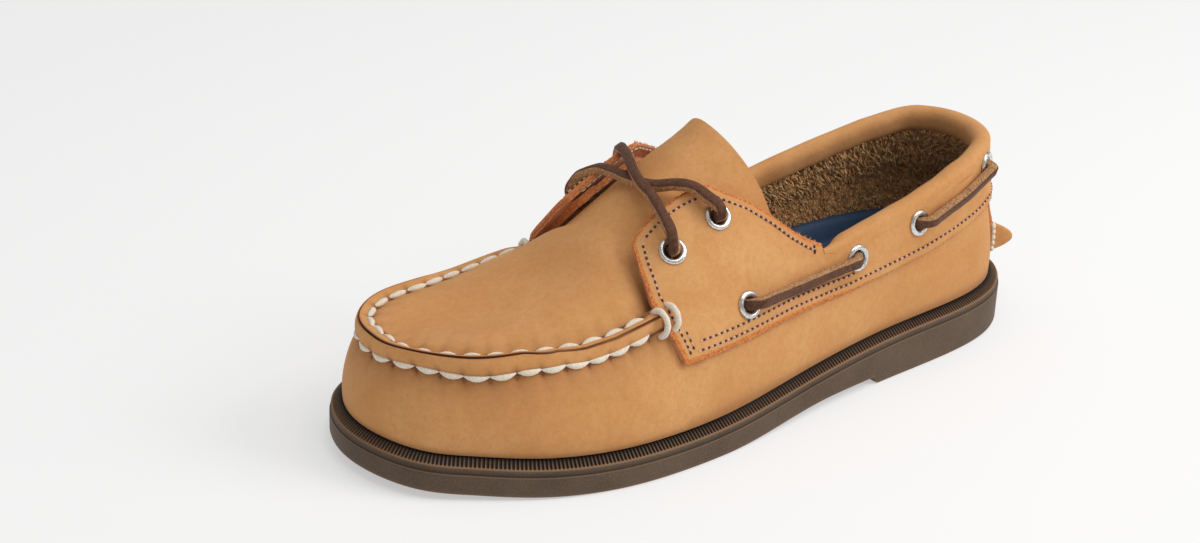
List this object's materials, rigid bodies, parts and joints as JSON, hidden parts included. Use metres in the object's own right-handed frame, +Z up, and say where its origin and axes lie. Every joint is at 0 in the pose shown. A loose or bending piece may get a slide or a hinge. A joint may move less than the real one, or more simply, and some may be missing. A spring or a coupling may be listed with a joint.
{
  "type": "boat shoe",
  "caption": "Low moccasin-toe boat shoe for the left foot: tan nubuck upper, square rawhide lace through metal eyelets and a thin ribbed-edge rubber sole.",
  "frame": {"origin": "middle of the shoe's box at floor level", "axes": "+X towards the heel, -Y towards the outer side of the left foot, +Z up"},
  "size_m": [0.2984, 0.1096, 0.101],
  "materials": {
    "tan_nubuck": "matt nubuck with a short nap, raw orange cut edges",
    "rubber_sole": "satin moulded rubber, taupe brown",
    "blue_insole": "matt navy cloth over foam",
    "silver_eyelet": "bright nickel plate, lightly worn",
    "rawhide_lace": "dark brown, smooth on top with rough lighter cut sides",
    "cream_thread": "thick waxed cream thread",
    "dark_thread": "brown and beige sewing thread",
    "brown_lining": "shaggy brown suede lining"
  },
  "bodies": {
    "root": {"outsole": "rubber_sole", "upper": "tan_nubuck", "plug_tongue": "tan_nubuck", "moc_seam": "tan_nubuck", "eyestay_lateral": "tan_nubuck", "eyestay_medial": "tan_nubuck", "collar": "tan_nubuck", "heel_stay": "tan_nubuck", "heel_fin": "tan_nubuck", "insole": "blue_insole", "lace_crossing": "rawhide_lace", "eyelet_lateral_front_low": "silver_eyelet", "eyelet_lateral_front_high": "silver_eyelet", "eyelet_lateral_side_1": "silver_eyelet", "eyelet_lateral_side_2": "silver_eyelet", "eyelet_lateral_side_3": "silver_eyelet", "eyelet_lateral_side_4": "silver_eyelet", "eyelet_medial_front_low": "silver_eyelet", "eyelet_medial_front_high": "silver_eyelet", "eyelet_medial_side_1": "silver_eyelet", "eyelet_medial_side_2": "silver_eyelet", "eyelet_medial_side_3": "silver_eyelet", "eyelet_medial_side_4": "silver_eyelet", "lace_lateral_front": "rawhide_lace", "lace_lateral_back": "rawhide_lace", "lace_medial_front": "rawhide_lace", "lace_medial_back": "rawhide_lace"}
  },
  "joints": []
}
